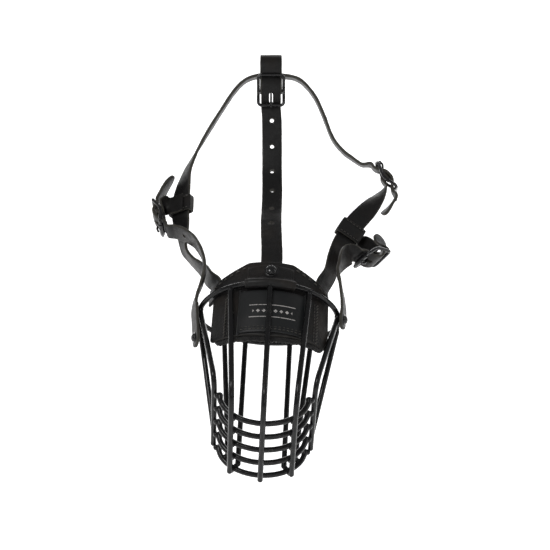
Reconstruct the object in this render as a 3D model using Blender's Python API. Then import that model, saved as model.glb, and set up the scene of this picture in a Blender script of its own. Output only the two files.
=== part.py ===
"""Basket muzzle: a dipped steel wire basket, a felt-lined nose pad and a leather head harness.

Metres, +Z up. The muzzle hangs by its crown loop, the way it hangs on a clinic hook: the origin is the
inside top of that loop, the wearer's nose points down and to -Y, and +X is the side on the right when
the muzzle is looked at from the nose. The sizes below are in millimetres and are turned into metres once.
"""
import bpy
import bmesh
from math import cos, exp, pi, radians, sin
from mathutils import Matrix, Vector

MM = 0.001
GAP = 0.3                      # what touching pieces keep between them

# basket
WIRE_R = 2.4                   # dipped wire
RIM_HALF = 62.0                # half of the rim's width
RIM_CROWN = 50.0               # rim height above its widest line
RIM_CHIN = 34.0                # rim depth below its widest line
TOP_RUN = 116.0                # rim to nose bend, along the nose bridge
FACE_DROP = 86.0               # nose bend to the lowest ring
FACE_LEAN = radians(17.5)      # the nose face runs forward towards the chin
RING_COUNT = 5
RING_FIRST = 25.0              # nose bend to the first ring
RING_PITCH = 15.2
RING_HALF = 37.0               # half of a ring's width
RING_DEPTH = 25.0              # front of a ring to its ends
BASKET_AT = Vector((0.9, -135.7, -217.7))
BASKET_PITCH = radians(35.0)   # nose axis, from straight down towards -Y
BASKET_LEAN = radians(3.0)

# leather and felt
STRAP_W = 19.0
STRAP_T = 2.6
NECK_T = 2.8
THIN_T = 2.0
HOLE_R = 2.4
FELT_T = 4.0
PAD_T = 2.0
PANEL_T = 1.4
TAB_T = 1.4
RIVET_F = -15.0                # rivet, behind the rim
PAD_TURN = 3.0                 # the pad sits this many degrees round to the right
LEFT_RIM_TURN = -68.0          # where the neck strap is sewn to the pad, round the rim
RIGHT_RIM_TURN = 60.0          # the same for the right side strap
CHEEK_TURN = 79.0              # where the cheek straps lie, on the upper side wires
CHEEK_LEAN = 0.12              # their way in for each millimetre forward

# buckles: a rectangle of wire with a middle bar for the tongue
BUCKLE_W = 24.4                # side bar to side bar, centres
BUCKLE_L = 29.0                # end bar to end bar, centres
BAR_R = 1.2
END_R = 1.5
BOW = 3.5                      # how far the sides bow back at the middle bar
ROLLER_R = 2.4
TONGUE_R = 1.0
WRAP_R = 2.6                   # middle of the leather folded round the middle bar
WRAP = [(3.5, WRAP_R - BOW)]   # that fold, as (along, out) of the buckle
WRAP += [(-WRAP_R * cos(a), WRAP_R * sin(a) - BOW) for a in (1.4, 0.7, 0.0, -0.7, -1.4)]
WRAP += [(3.5, -WRAP_R - BOW), (6.5, -WRAP_R - BOW - 0.4)]
BILLET = [(-18.5, -5.0), (-14.5, -4.9), (-11.0, -3.6), (-7.5, -0.8), (-4, 1.5), (0, 2.4), (4, 2.4), (7.5, 0.6),
          (10.5, -2.1), (14.0, -4.1), (17.5, -4.9)]   # a strap through a roller buckle, as (along, out)


# ---- scene and materials ----

def clear():
    for thing in list(bpy.data.objects):
        bpy.data.objects.remove(thing, do_unlink=True)


def finish(name, colour, roughness, metallic):
    """A plain Principled material."""
    material = bpy.data.materials.new(name)
    material.use_nodes = True
    shader = material.node_tree.nodes["Principled BSDF"]
    shader.inputs["Base Color"].default_value = (*colour, 1.0)
    shader.inputs["Roughness"].default_value = roughness
    shader.inputs["Metallic"].default_value = metallic
    return material


# ---- general shapes ----

def add(name, mesh, material, at=Vector((0, 0, 0))):
    """Link a mesh whose points are in millimetres as one named object with its origin at a point."""
    mesh.transform(Matrix.Scale(MM, 4) @ Matrix.Translation(-at))
    mesh.materials.append(material)
    thing = bpy.data.objects.new(name, mesh)
    thing.location = at * MM
    bpy.context.scene.collection.objects.link(thing)
    return thing


def closed_mesh(name, rings, loop=False):
    """Bridge equal rings of points into one closed body, with end caps unless it is a loop."""
    build = bmesh.new()
    made = [[build.verts.new(point) for point in ring] for ring in rings]
    pairs = list(zip(made, made[1:])) + ([(made[-1], made[0])] if loop else [])
    for low, high in pairs:
        for i in range(len(low)):
            j = (i + 1) % len(low)
            build.faces.new((low[i], low[j], high[j], high[i]))
    if not loop:
        build.faces.new(reversed(made[0]))
        build.faces.new(made[-1])
    bmesh.ops.recalc_face_normals(build, faces=build.faces)
    mesh = bpy.data.meshes.new(name)
    build.to_mesh(mesh)
    build.free()
    return mesh


def smooth(route, steps):
    """Points along a Catmull-Rom curve through a route of vectors."""
    ends = [2 * route[0] - route[1], *route, 2 * route[-1] - route[-2]]
    out = []
    for a, b, c, d in zip(ends, ends[1:], ends[2:], ends[3:]):
        for i in range(steps):
            t = i / steps
            out.append(0.5 * (2 * b + (c - a) * t + (2 * a - 5 * b + 4 * c - d) * t ** 2
                              + (3 * b - a - 3 * c + d) * t ** 3))
    return out + [route[-1].copy()]


def tube(name, points, radius, material, cyclic=False, origin=Vector((0, 0, 0))):
    """A round wire: a poly curve with a bevel and filled caps, with its origin at a point."""
    curve = bpy.data.curves.new(name, "CURVE")
    curve.dimensions = "3D"
    curve.bevel_depth = radius * MM
    curve.bevel_resolution = 2
    curve.use_fill_caps = True
    line = curve.splines.new("POLY")
    line.points.add(len(points) - 1)
    for spot, point in zip(line.points, points):
        spot.co = (*((point - origin) * MM), 1.0)
    line.use_cyclic_u = cyclic
    curve.materials.append(material)
    thing = bpy.data.objects.new(name, curve)
    thing.location = origin * MM
    bpy.context.scene.collection.objects.link(thing)
    return thing


def band(name, route, sides, width, thick, material, steps=4):
    """A strap: a flat section carried along a smooth route, its width along the given sides."""
    centre = smooth(route, steps)
    across = smooth(sides, steps)
    rings = []
    for i, (point, side) in enumerate(zip(centre, across)):
        ahead = (centre[min(i + 1, len(centre) - 1)] - centre[max(i - 1, 0)]).normalized()
        side = (side - side.dot(ahead) * ahead).normalized() * width / 2
        up = side.cross(ahead).normalized() * thick / 2
        rings.append([point - side - up, point + side - up, point + side + up, point - side + up])
    return add(name, closed_mesh(name, rings), material)


def drill(thing, spots, radius=HOLE_R):
    """Punch round holes: each spot is a point and the hole's direction."""
    for i, (at, along) in enumerate(spots):
        build = bmesh.new()
        bmesh.ops.create_cone(build, cap_ends=True, segments=12, radius1=radius * MM, radius2=radius * MM,
                              depth=20 * MM)
        mesh = bpy.data.meshes.new("punch")
        build.to_mesh(mesh)
        build.free()
        punch = bpy.data.objects.new(f"punch_{thing.name}_{i}", mesh)
        punch.matrix_world = Matrix.Translation(at * MM) @ along.to_track_quat("Z", "Y").to_matrix().to_4x4()
        punch.hide_render = True
        punch.display_type = "WIRE"
        bpy.context.scene.collection.objects.link(punch)
        cut = thing.modifiers.new("hole", "BOOLEAN")
        cut.operation = "DIFFERENCE"
        cut.object = punch
        punches.append(punch)


def dome(name, at, along, head, shank, depth, material):
    """A dome rivet: a shank of the given depth below a round head, turned about its own line."""
    turn = along.to_track_quat("Z", "Y").to_matrix()
    cap = head * 0.62
    outline = [(0.01, -depth), (shank, -depth), (shank, 0.0), (head, 0.0), (head, 0.7)]
    outline += [(cap * cos(a), 0.7 + cap * 0.75 * sin(a)) for a in (0.35, 0.7, 1.05, 1.4)]
    outline.append((0.01, 0.7 + cap * 0.75))
    rings = [[at + turn @ Vector((r * cos(a), r * sin(a), z)) for a in [k * pi / 8 for k in range(16)]]
             for r, z in outline]
    return add(name, closed_mesh(name, rings), material)


# ---- the basket's own frame ----

def seat(x, u, f):
    """A basket point: x to the side, u up from the bridge of the nose, f forward from the rim."""
    turn = Matrix.Rotation(BASKET_LEAN, 3, "Y")
    nose = Vector((0, -sin(BASKET_PITCH), -cos(BASKET_PITCH)))
    top = Vector((0, -cos(BASKET_PITCH), sin(BASKET_PITCH)))
    return BASKET_AT + turn @ (Vector((x, 0, 0)) + u * top + f * nose)


def seat_way(x, u, f):
    """The same for a direction."""
    return (seat(x, u, f) - BASKET_AT).normalized()


def oval(turn, inset=0.0, f=0.0):
    """The rim's egg shape: turn 0 is the bridge of the nose, 90 degrees the wearer's cheek."""
    tall = (RIM_CROWN if cos(turn) > 0 else RIM_CHIN) - inset
    u = -RIM_CROWN + tall * cos(turn)
    return seat((RIM_HALF - inset) * sin(turn), u, f - 0.1 * u)


def ring_point(drop, turn, inset=0.0):
    """A point of the nose face, drop below the bend and turn degrees round to the side."""
    f = TOP_RUN + drop * sin(FACE_LEAN) - RING_DEPTH + (RING_DEPTH - inset) * cos(turn)
    return seat((RING_HALF - inset) * sin(turn), -drop * cos(FACE_LEAN), f)


def bend(corner, before, after, radius, steps=5):
    """Points rounding a corner between two directions."""
    start = corner - before * radius
    stop = corner + after * radius
    ts = [i / steps for i in range(steps + 1)]
    return [(1 - t) ** 2 * start + 2 * t * (1 - t) * corner + t ** 2 * stop for t in ts]


def long_wire(name, rim_point, corner, end, radius, material):
    """A wire from the rim, rounding the nose, to the lowest ring."""
    before = (corner - rim_point).normalized()
    after = (end - corner).normalized()
    tube(name, [rim_point, *bend(corner, before, after, radius), end], WIRE_R, material)


def basket(steel):
    """Rim, bridge wires, side wires, chin wires and the five nose rings."""
    tube("rim_wire", [oval(radians(a)) for a in range(0, 360, 9)], WIRE_R, steel, cyclic=True)
    clear_of = 2 * WIRE_R + GAP
    for name, turn, side in (("left", -33, -1), ("centre", 0, 0), ("right", 33, 1)):
        start = oval(radians(turn), -0.4, clear_of)
        spread = radians(38.5) * side
        corner = ring_point(0, spread, -clear_of)
        end = ring_point(FACE_DROP - 1.5, spread, -clear_of)
        long_wire(f"bridge_wire_{name}", start, corner, end, 23, steel)
    for name, side in (("left", -1), ("right", 1)):
        start = oval(radians(76) * side, 0, clear_of)
        corner = ring_point(RING_FIRST - 14, radians(96) * side, -clear_of)
        end = ring_point(FACE_DROP, radians(96) * side, -clear_of)
        long_wire(f"upper_side_wire_{name}", start, corner, end, 16, steel)
        start = oval(radians(100) * side, 0, clear_of)
        end = ring_point(FACE_DROP - 6, radians(97) * side, -clear_of) - seat_way(0, 0, 1) * clear_of
        tube(f"lower_side_wire_{name}", [start, start.lerp(end, 0.5), end], WIRE_R, steel)
    for name, turn, spread in (("left_outer", -141, -64), ("left_inner", -161, -38), ("centre", 180, 0),
                               ("right_inner", 161, 38), ("right_outer", 141, 64)):
        start = oval(radians(turn), 0, clear_of)
        end = ring_point(FACE_DROP - 0.5, radians(spread), clear_of)
        tube(f"chin_wire_{name}", [start, start.lerp(end, 0.5), end], WIRE_R, steel)
    for k in range(RING_COUNT):
        drop = RING_FIRST + k * RING_PITCH
        line = [ring_point(drop, radians(a)) for a in range(-88, 89, 11)]
        tube(f"nose_ring_{k + 1}", line, WIRE_R, steel)


# ---- nose pad ----

def pad_sheet(name, depth, thick, turns, front, back, material):
    """A curved sheet that follows the rim inside the wires, from its back edge to its front edge."""
    columns, rows = 26, 6
    rings = []
    for i in range(columns + 1):
        turn = radians(PAD_TURN + turns * (2 * i / columns - 1))
        near, far = back(turn), front(turn)
        fs = [near + (far - near) * j / rows for j in range(rows + 1)]
        outer = [oval(turn, depth, f) for f in fs]
        inner = [oval(turn, depth + thick, f) for f in reversed(fs)]
        rings.append(outer + inner)
    return add(name, closed_mesh(name, rings), material)


def collar_edge(turn):
    """The pad's back edge: a short level stretch behind the rivet, then falling away to the sides."""
    return -25.0 + 18.5 * (1 - exp(-max(abs(turn) - 0.22, 0.0) / 0.65))


def nose_pad(leather, smooth_leather, felt, steel):
    """Leather pad, smooth front panel, felt lining, the tab over the rim and its rivet."""
    skin = WIRE_R + GAP + PANEL_T + GAP
    pad = pad_sheet("nose_pad_leather", skin, PAD_T, 62, lambda a: 50 - 4 * abs(a), collar_edge, leather)
    pad_sheet("nose_pad_panel", WIRE_R + GAP, PANEL_T, 29, lambda a: 47.0, lambda a: 5.0, smooth_leather)
    pad_sheet("nose_pad_felt", skin + PAD_T + GAP, FELT_T, 60, lambda a: 53.5 - 5 * abs(a),
              lambda a: -1.0, felt)
    rings = []
    for i in range(9):
        turn = radians(20 * (i / 4 - 1))
        low, round_wire = skin - GAP - TAB_T / 2, WIRE_R + GAP + TAB_T / 2 + 0.1
        line = [oval(turn, low, -21.5 + 6 * abs(turn)), oval(turn, low, -9.3), oval(turn, 1.7, -6.0)]
        line += [oval(turn, -round_wire * sin(a), -round_wire * cos(a))
                 for a in (0.3, 0.95, 1.6, 2.25, 2.9, 3.55)]
        line.append(oval(turn, low, 0.8))
        rings.append(fold(line, TAB_T))
    tab = add("rim_tab", closed_mesh("rim_tab", rings), leather)
    spot, up = oval(0, skin - GAP - TAB_T - GAP, RIVET_F), seat_way(0, 1, 0)
    dome("pad_rivet", spot, up, 5.4, 1.9, 8.4, steel)
    for layer in (pad, tab):
        drill(layer, [(spot, up)], 2.2)


def fold(line, thick):
    """A closed outline around a thin folded strip, from the middle line of its section."""
    side = (line[-1] - line[0]).cross(line[len(line) // 2] - line[0]).normalized()
    outer, inner = [], []
    for i, point in enumerate(line):
        ahead = (line[min(i + 1, len(line) - 1)] - line[max(i - 1, 0)]).normalized()
        out = side.cross(ahead) * thick / 2
        outer.append(point + out)
        inner.append(point - out)
    return outer + inner[::-1]


# ---- buckles ----

def place(middle, along, across):
    """A buckle's own frame: x across the strap, y along it, z out of its face."""
    y = along.normalized()
    x = (across - across.dot(y) * y).normalized()
    z = x.cross(y)
    turn = Matrix((x, y, z)).transposed().to_4x4()
    return Matrix.Translation(middle) @ turn


def buckle(name, at, steel, roller=True):
    """A wire frame with a middle bar, its tongue, and a roller on the end bar that the strap turns over."""
    half_w, half_l = BUCKLE_W / 2, BUCKLE_L / 2
    side = [Vector((half_w, y, -BOW * cos(pi * y / BUCKLE_L) ** 2)) for y in (-9.5, -5, 0, 5, 9.5)]
    corner = [Vector((half_w - 0.8, 13.4, 0)), Vector((half_w - 3, half_l, 0))]
    right = [Vector((p.x, -p.y, p.z)) for p in reversed(corner)] + side + corner
    outline = right + [Vector((-p.x, p.y, p.z)) for p in reversed(right)]
    axis = at @ Vector((0, 0, -BOW))
    tube(f"{name}_frame", [at @ p for p in outline], END_R, steel, cyclic=True, origin=axis)
    pin = [Vector((x, 0, -BOW)) for x in (-half_w + END_R + GAP, half_w - END_R - GAP)]
    tube(f"{name}_bar", [at @ p for p in pin], BAR_R, steel, origin=axis)
    rest = (ROLLER_R if roller else END_R) + GAP + 1.1
    reach = Vector((0, -half_l - 1.5, rest))
    root = Vector((0, -BAR_R - GAP - 1.1, -BOW))
    tongue = [root, Vector((0, -4.0, -BOW + 1.2)), Vector((0, -8.0, 0.9)), Vector((0, -12.0, rest)), reach]
    tube(f"{name}_tongue", [at @ p for p in tongue], TONGUE_R, steel, origin=axis)
    if roller:
        long = half_w - 4.6
        outline = [(-long, END_R + GAP), (-long, ROLLER_R), (long, ROLLER_R), (long, END_R + GAP)]
        rings = [[at @ Vector((x, r * cos(a) - half_l, r * sin(a))) for a in [k * pi / 8 for k in range(16)]]
                 for x, r in outline]
        pipe = closed_mesh(f"{name}_roller", rings, loop=True)
        add(f"{name}_roller", pipe, steel, at @ Vector((0, -half_l, 0)))


def through(at, *points):
    """Points given along and out of a buckle, as world points."""
    return [at @ Vector((0, along, out)) for along, out in points]


# ---- harness ----

HOLES = [Vector(p) for p in ((1.8, -11.0, -62.9), (2.0, -12.1, -88.0), (2.0, -19.3, -113), (2.2, -35.5, -132.7),
                             (1.7, -53.7, -150.4), (1.3, -74.9, -164.5))]


def crown(leather, steel):
    """The crown loop, its buckle and the forehead strap that the buckle holds."""
    at = place(Vector((1.0, -13.9, -34.0)), Vector((0, 0, 1)), Vector((1, 0, 0)))
    buckle("crown_buckle", at, steel, roller=False)
    arch = [(-13.5, -17.6), (-13.5, -12.4)]
    arch += [(-13.5 * cos(a), -12.4 + 13.5 * sin(a)) for a in [k * pi / 8 for k in range(1, 8)]]
    arch += [(13.5, -12.4), (13.5, -17.5), (12.4, -20.7), (9.5, -21.8), (0, -21.8), (-5.0, -22.0), (-7.2, -23.8),
             (-7.9, -26), (-7.9, -34)]
    arch += [(-10.4 + 2.5 * cos(a), -34.0 - 2.5 * sin(a)) for a in (0.8, 1.57, 2.35, pi)]
    arch.append((-12.9, -30.5))
    line = [Vector((1.0, y, z)) for y, z in arch]
    loop = add("crown_loop", closed_mesh("crown_loop", [
        fold([p + Vector((x, 0, 0)) for p in line], THIN_T) for x in (-10.5, 10.5)]), leather)
    slot(loop, at)
    route = [Vector((1.2, -10.8, -11.6)), Vector((1.2, -10.8, -18))]
    route += through(at, (13.5, -3.2), (9, -0.4), (4, 1.7), (0, 1.7), (-4, 1.4), (-8.5, -1.2), (-13, -3.8),
                     (-17, -3.9))
    route += HOLES
    depth = WIRE_R + 2 * GAP + PANEL_T + PAD_T + GAP + STRAP_T / 2 + 0.8
    route += [oval(0, depth, -35.5) + Vector((0, 3, 3.4)), oval(0, depth, -23), oval(0, depth, -5.5)]
    strap = band("forehead_strap", route, [Vector((1, 0, 0))] * len(route), STRAP_W, STRAP_T, leather)
    ways = [Vector((0, -1, 0.0)), Vector((0, -1, 0.1)), Vector((0, -1, 0.6)), Vector((0, -0.7, 0.7)),
            Vector((0, -0.62, 0.78)), Vector((0, -0.6, 0.8))]
    drill(strap, list(zip(HOLES, ways)))
    drill(strap, [(oval(0, 2.4, RIVET_F), seat_way(0, 1, 0))], 2.2)
    punch_slot(strap, at)


def slot(thing, at):
    """The cut in a fold that the tongue comes out of."""
    box_cut(thing, at @ Vector((0, -2.2, -BOW)), at, (3.6, 5.2, 9.0))


def punch_slot(thing, at):
    """The strap hole that the tongue stands in, pulled long by wear."""
    box_cut(thing, at @ Vector((0, -8.0, 0.2)), at, (3.6, 9.5, 7.5))


def box_cut(thing, middle, at, size):
    """Cut a box out of a piece, lined up with a buckle."""
    build = bmesh.new()
    bmesh.ops.create_cube(build, size=1.0)
    bmesh.ops.scale(build, vec=Vector(size) * MM, verts=build.verts)
    mesh = bpy.data.meshes.new("slot")
    build.to_mesh(mesh)
    build.free()
    cutter = bpy.data.objects.new(f"slot_{thing.name}", mesh)
    turn = at.to_3x3().to_4x4()
    cutter.matrix_world = Matrix.Translation(middle * MM) @ turn
    cutter.hide_render = True
    cutter.display_type = "WIRE"
    bpy.context.scene.collection.objects.link(cutter)
    cut = thing.modifiers.new("slot", "BOOLEAN")
    cut.operation = "DIFFERENCE"
    cut.object = cutter
    punches.append(cutter)


def chape(name, at, tail, sides, leather):
    """A short strap folded round a buckle's middle bar and carried on along a route."""
    route = through(at, *WRAP) + tail
    across = at.to_3x3() @ Vector((1, 0, 0))
    ways = [across] * len(WRAP) + sides
    piece = band(name, route, ways, STRAP_W, THIN_T, leather, steps=2)
    slot(piece, at)


def sleeve(name, at, length, inner_w, inner_t, wall, material):
    """A leather loop sewn round a strap, in the strap's own frame."""
    sizes = [(inner_w / 2 + wall, inner_t / 2 + wall, y) for y in (-length / 2, length / 2)]
    sizes += [(inner_w / 2, inner_t / 2, y) for y in (length / 2, -length / 2)]
    rings = [[at @ Vector((x, y, z)) for x, z in ((-w, -t), (w, -t), (w, t), (-w, t))] for w, t, y in sizes]
    return add(name, closed_mesh(name, rings, loop=True), material)


def at_side(turn, inset, *fs):
    """Points along a side of the basket at the given distances forward of the rim."""
    return [oval(radians(turn), inset, f) for f in fs]


def round_way(turn):
    """The way round the rim, towards the bridge of the nose."""
    step = 2.0 if turn < 0 else -2.0
    return (oval(radians(turn + step)) - oval(radians(turn - step))).normalized()


def neck_strap(at, patch, leather):
    """The long strap: left rim, up behind the ear, over the crown, down to the neck buckle."""
    inner = WIRE_R + 7 * GAP + PANEL_T + PAD_T + NECK_T / 2
    points = at_side(LEFT_RIM_TURN, inner, -4, -12, -22)
    points += [Vector(p) for p in ((-53.5, -90, -214.5), (-60.5, -72, -207.5), (-70.5, -57, -199),
                                   (-77.4, -46, -190), (-81.4, -35, -178))]
    points += [patch @ Vector((0, y, 0)) for y in (-13, 0, 13)]
    points += [Vector(p) for p in ((-80, -12, -113), (-72.4, -4, -95), (-60, 0, -72.5), (-46.6, 2, -50.9),
                                   (-35, 2.4, -33.5), (-24.3, 2, -22.9), (-12, 1.6, -18.4), (1, 1.6, -18),
                                   (14, 1.6, -18.4), (29, 1.6, -22.5), (42.5, 1, -37.2), (51.4, 0, -55.7),
                                   (60, -3, -78.2), (69.5, -8, -91.5), (79, -12, -99.5), (88, -16, -105.5))]
    points += through(at, *BILLET)
    points += [Vector(p) for p in ((119.0, -25.5, -138), (113.5, -27, -146), (106.5, -29, -154))]
    across = at.to_3x3() @ Vector((1, 0, 0))
    flat = patch.to_3x3() @ Vector((1, 0, 0))
    ways = [round_way(LEFT_RIM_TURN)] * 3
    ways += [Vector(p) for p in ((0.25, -0.8, 0.5), (0.2, -0.85, 0.4), (0.15, -0.95, 0.2), (0.2, -0.97, 0.1),
                                 (0.45, -0.9, 0))]
    ways += [flat] * 3 + [Vector((0.4, -0.9, 0)), Vector((0.15, -1, 0))]
    ways += [Vector((0, -1, 0))] * 14 + [across] * len(BILLET)
    ways += [Vector(p) for p in ((0.0, -1, 0.1), (0.1, -1, 0.1), (0.3, -0.9, -0.1))]
    strap = band("neck_strap", points, ways, STRAP_W, NECK_T, leather, steps=2)
    punch_slot(strap, at)


def strap_face(points, ways, i):
    """The way out of a strap's face at one of its points."""
    return (points[i + 1] - points[i]).cross(ways[i]).normalized()


def side_strap(at, patch, leather):
    """The right side's short strap: folded round the neck buckle's bar and carried down to the rim."""
    inner = WIRE_R + 7 * GAP + PANEL_T + PAD_T + THIN_T / 2
    tail = [Vector(p) for p in ((105.5, -24.5, -132.5), (98.0, -32, -142), (89.5, -41, -152))]
    tail += [patch @ Vector((0, y, 0)) for y in (13, 0, -13)]
    tail += [Vector(p) for p in ((59.0, -74, -197), (53.5, -88, -211))]
    tail += at_side(RIGHT_RIM_TURN, inner, -22, -12, -4)
    flat = patch.to_3x3() @ Vector((1, 0, 0))
    ways = [Vector(p) for p in ((0.25, -0.95, -0.05), (0.6, -0.7, -0.35), (0.8, -0.3, -0.5))] + [flat] * 3
    ways += [Vector(p) for p in ((0.65, 0.5, -0.55), (0.5, 0.7, -0.5))] + [-round_way(RIGHT_RIM_TURN)] * 3
    across = at.to_3x3() @ Vector((1, 0, 0))
    piece = band("right_side_strap", through(at, *WRAP) + tail, [across] * len(WRAP) + ways, STRAP_W, THIN_T,
                 leather, steps=2)
    slot(piece, at)


def cheek_straps(left_at, right_at, leather, steel):
    """The two cheek straps: lying outside the basket's sides, through their buckles, tails turned back up."""
    outer = -(WIRE_R + 4 * GAP + STRAP_T / 2)
    points = [oval(radians(-CHEEK_TURN), outer + CHEEK_LEAN * max(f, 0), f) for f in (38, 30, 10, -6)]
    points += [Vector(p) for p in ((-59.5, -106, -216), (-57.5, -102, -203.6), (-60.5, -91, -191.8),
                                   (-68.5, -70, -180.5), (-78, -58, -174), (-87, -50.5, -171))]
    points += through(left_at, *BILLET)
    points += [Vector(p) for p in ((-99, -18, -127), (-92, -13, -117))]
    across = left_at.to_3x3() @ Vector((1, 0, 0))
    ways = [round_way(-CHEEK_TURN)] * 4
    ways += [Vector(p) for p in ((0.05, -0.9, 0.3), (0.05, -0.95, 0.25), (0, -0.9, 0.4), (0, -0.85, 0.5),
                                 (0, -0.8, 0.6), (0, -0.8, 0.6))]
    ways += [across] * len(BILLET) + [Vector((0, -0.9, 0.45)), Vector((0.1, -0.95, 0.3))]
    left = band("left_cheek_strap", points, ways, STRAP_W, STRAP_T, leather, steps=2)
    punch_slot(left, left_at)
    drill(left, [(points[8], strap_face(points, ways, 8))])
    side_rivet("left_side_rivet", left, points[1], strap_face(points, ways, 1), steel)

    points = [oval(radians(CHEEK_TURN), outer + CHEEK_LEAN * max(f, 0), f) for f in (12, 4, -8)]
    points += [Vector(p) for p in ((62.3, -107, -218), (61.0, -101, -207), (66.0, -91, -197), (72.5, -79, -192))]
    points += through(right_at, *BILLET)
    points += [Vector(p) for p in ((103.6, -43.5, -183), (101.0, -38, -173))]
    across = right_at.to_3x3() @ Vector((1, 0, 0))
    ways = [round_way(CHEEK_TURN)] * 3
    ways += [Vector(p) for p in ((-0.1, -0.95, 0.3), (-0.1, -0.95, 0.2), (-0.4, -0.8, 0.4), (-0.5, -0.7, 0.5))]
    ways += [-across] * len(BILLET) + [Vector((-0.5, -0.7, 0.3)), Vector((-0.5, -0.8, 0.1))]
    right = band("right_cheek_strap", points, ways, STRAP_W, STRAP_T, leather, steps=2)
    punch_slot(right, right_at)
    side_rivet("right_side_rivet", right, points[1], strap_face(points, ways, 1), steel)


def side_rivet(name, strap, spot, face, steel):
    """A dome rivet through a cheek strap where it lies along the basket's side."""
    out = face if face.x * spot.x > 0 else -face
    dome(name, spot + out * (STRAP_T / 2 + GAP), out, 4.6, 1.7, STRAP_T + 2 * GAP, steel)
    drill(strap, [(spot, out)], 2.2)


def side_straps(leather, steel):
    """Neck strap, cheek straps, their buckles, chapes, patches and side rivets."""
    neck_at = place(Vector((111.4, -21.0, -117.5)), Vector((0.60, -0.16, -0.79)), Vector((-0.1, -1, 0.13)))
    left_at = place(Vector((-105.0, -37.5, -157.0)), Vector((-0.30, 0.56, 0.77)), Vector((-0.05, -0.80, 0.60)))
    right_at = place(Vector((93.9, -62.0, -196.1)), Vector((0.72, 0.65, 0.05)), Vector((-0.55, 0.62, -0.56)))
    buckle("neck_buckle", neck_at, steel)
    buckle("left_cheek_buckle", left_at, steel)
    buckle("right_cheek_buckle", right_at, steel)
    left_patch = place(Vector((-83.8, -28.0, -146.0)), Vector((0.0, 0.5, 0.86)), Vector((0.8, -0.6, 0)))
    right_patch = place(Vector((74.0, -57.0, -171.0)), Vector((0.5, 0.5, 0.74)), Vector((0.8, 0, -0.57)))
    neck_strap(neck_at, left_patch, leather)
    side_strap(neck_at, right_patch, leather)
    cheek_straps(left_at, right_at, leather, steel)
    sleeve("left_patch", left_patch, 17, STRAP_W + 2.0, NECK_T + 2.4, 1.8, leather)
    sleeve("right_patch", right_patch, 17, STRAP_W + 2.0, NECK_T + 2.4, 1.8, leather)
    z = NECK_T / 2 + 1.2 + 1.8 + GAP + THIN_T / 2
    tail = [left_patch @ Vector(p)
            for p in ((-12, -1, z + 5.5), (-8.5, -0.4, z + 1.6), (-2, 0, z + 0.1), (6, 0, z))]
    up = left_patch.to_3x3() @ Vector((0, 1, 0))
    chape("left_cheek_chape", left_at, tail, [Vector((-0.05, -0.4, 0.85)), up, up, up], leather)
    tail = [Vector((90, -52, -185))]
    tail += [right_patch @ Vector(p) for p in ((12.5, -1, -z - 2.8), (7, 0, -z - 0.5), (0, 0, -z), (-6, 0, -z))]
    up = right_patch.to_3x3() @ Vector((0, 1, 0))
    chape("right_cheek_chape", right_at, tail, [Vector((-0.6, 0.4, -0.6)), -up, -up, -up, -up], leather)


def main():
    clear()
    leather = finish("leather_black", (0.030, 0.028, 0.027), 0.55, 0.0)
    panel = finish("leather_smooth", (0.030, 0.032, 0.034), 0.35, 0.0)
    felt = finish("felt_dark", (0.035, 0.033, 0.032), 0.95, 0.0)
    wire = finish("dipped_wire", (0.022, 0.022, 0.023), 0.38, 0.0)
    steel = finish("black_steel", (0.030, 0.030, 0.032), 0.35, 0.9)
    basket(wire)
    nose_pad(leather, panel, felt, steel)
    crown(leather, steel)
    side_straps(leather, steel)


punches = []
main()
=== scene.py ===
"""Basket muzzle hanging by its crown loop: dipped wire basket, felt-lined pad, buckled leather harness."""
from math import cos, pi, radians, sin
import bpy
import numpy as np
from mathutils import Matrix, Vector


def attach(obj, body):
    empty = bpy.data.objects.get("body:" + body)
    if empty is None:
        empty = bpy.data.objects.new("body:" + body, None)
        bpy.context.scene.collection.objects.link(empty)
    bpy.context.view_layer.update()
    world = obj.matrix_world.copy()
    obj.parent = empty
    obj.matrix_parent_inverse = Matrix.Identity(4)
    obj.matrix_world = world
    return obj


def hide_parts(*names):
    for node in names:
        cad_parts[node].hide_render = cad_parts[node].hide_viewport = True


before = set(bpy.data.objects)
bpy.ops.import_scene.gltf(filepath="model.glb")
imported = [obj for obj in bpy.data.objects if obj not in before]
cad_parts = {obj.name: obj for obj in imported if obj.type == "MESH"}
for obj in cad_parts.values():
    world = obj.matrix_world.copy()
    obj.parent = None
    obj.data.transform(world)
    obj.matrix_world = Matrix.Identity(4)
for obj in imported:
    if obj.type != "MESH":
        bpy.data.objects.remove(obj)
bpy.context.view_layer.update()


# ---- Studio ----
# A pale floor that curves up into a backdrop, soft panels of light above, in front and to both sides,
# and a long lens level with the middle of the muzzle.

def arc_room(width, front, back, floor, top, radius, steps=24):
    """Floor and wall as one sheet: level, then a quarter turn of the given radius, then upright."""
    a = np.linspace(0, pi / 2, steps)
    y = np.concatenate([[front], back - radius + radius * np.sin(a), [back]])
    z = np.concatenate([[floor], floor + radius - radius * np.cos(a), [top]])
    rows = [np.stack([np.full_like(y, x), y, z], axis=1) for x in (-width, width)]
    points = np.concatenate(rows)
    n = len(y)
    faces = [(i, i + n, i + n + 1, i + 1) for i in range(n - 1)]
    mesh = bpy.data.meshes.new("studio_floor")
    mesh.from_pydata(points.tolist(), [], faces)
    mesh.shade_smooth()
    thing = bpy.data.objects.new("studio_floor", mesh)
    bpy.context.scene.collection.objects.link(thing)
    return thing


def panel_light(name, place, aim, size, power, tint=(1, 1, 1)):
    """A square area light that faces a point."""
    light = bpy.data.lights.new(name, "AREA")
    light.shape, light.size, light.size_y = "RECTANGLE", size[0], size[1]
    light.energy, light.color = power, tint
    thing = bpy.data.objects.new(name, light)
    thing.location = place
    thing.rotation_euler = (Vector(aim) - Vector(place)).to_track_quat("-Z", "Y").to_euler()
    bpy.context.scene.collection.objects.link(thing)


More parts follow.
